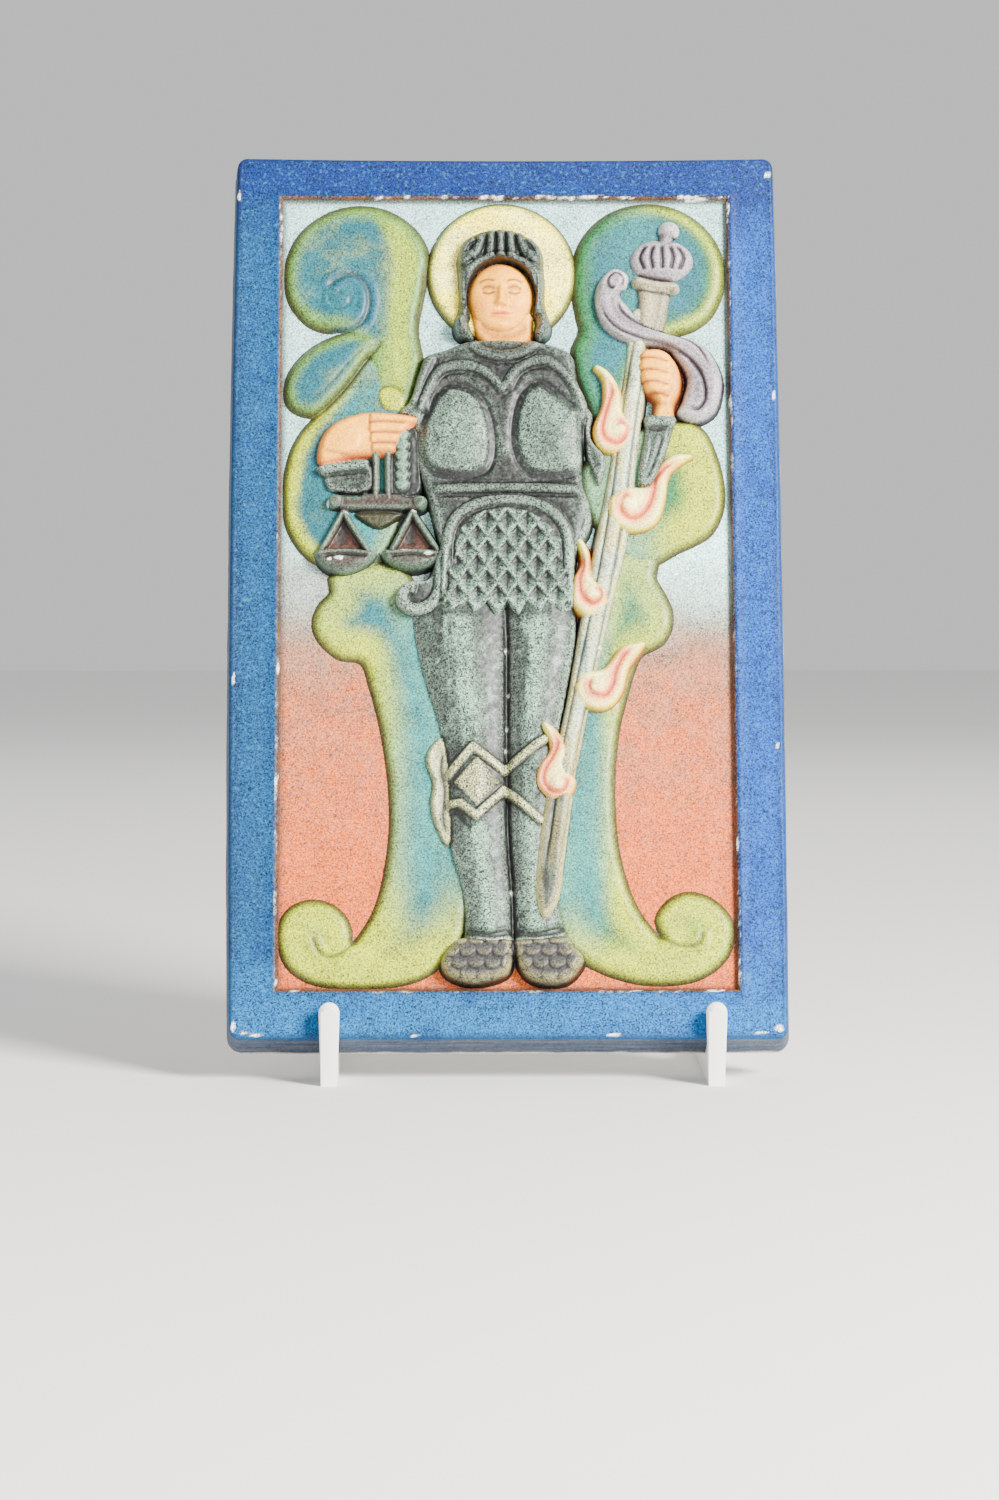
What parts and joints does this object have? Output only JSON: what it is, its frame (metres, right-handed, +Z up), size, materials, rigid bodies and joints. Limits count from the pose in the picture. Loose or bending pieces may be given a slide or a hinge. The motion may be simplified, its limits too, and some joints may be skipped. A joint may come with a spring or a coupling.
{
  "type": "decorative wall plaque",
  "caption": "Rectangular cast and painted relief plaque of an armoured winged figure with balance and flaming sword, leaning in a moulded plate stand.",
  "frame": {"origin": "middle of the whole part's footprint, on the surface that the plate stand rests on", "axes": "+X to the viewer's right across the plaque, -Y towards the viewer in front of the relief, +Z up"},
  "size_m": [0.1832, 0.1104, 0.2987],
  "materials": {
    "painted_plaster": "painted, eggshell sheen",
    "white_plastic": "smooth moulded gloss"
  },
  "bodies": {
    "root": {"plaque": "painted_plaster", "plate_stand": "white_plastic"}
  },
  "joints": []
}
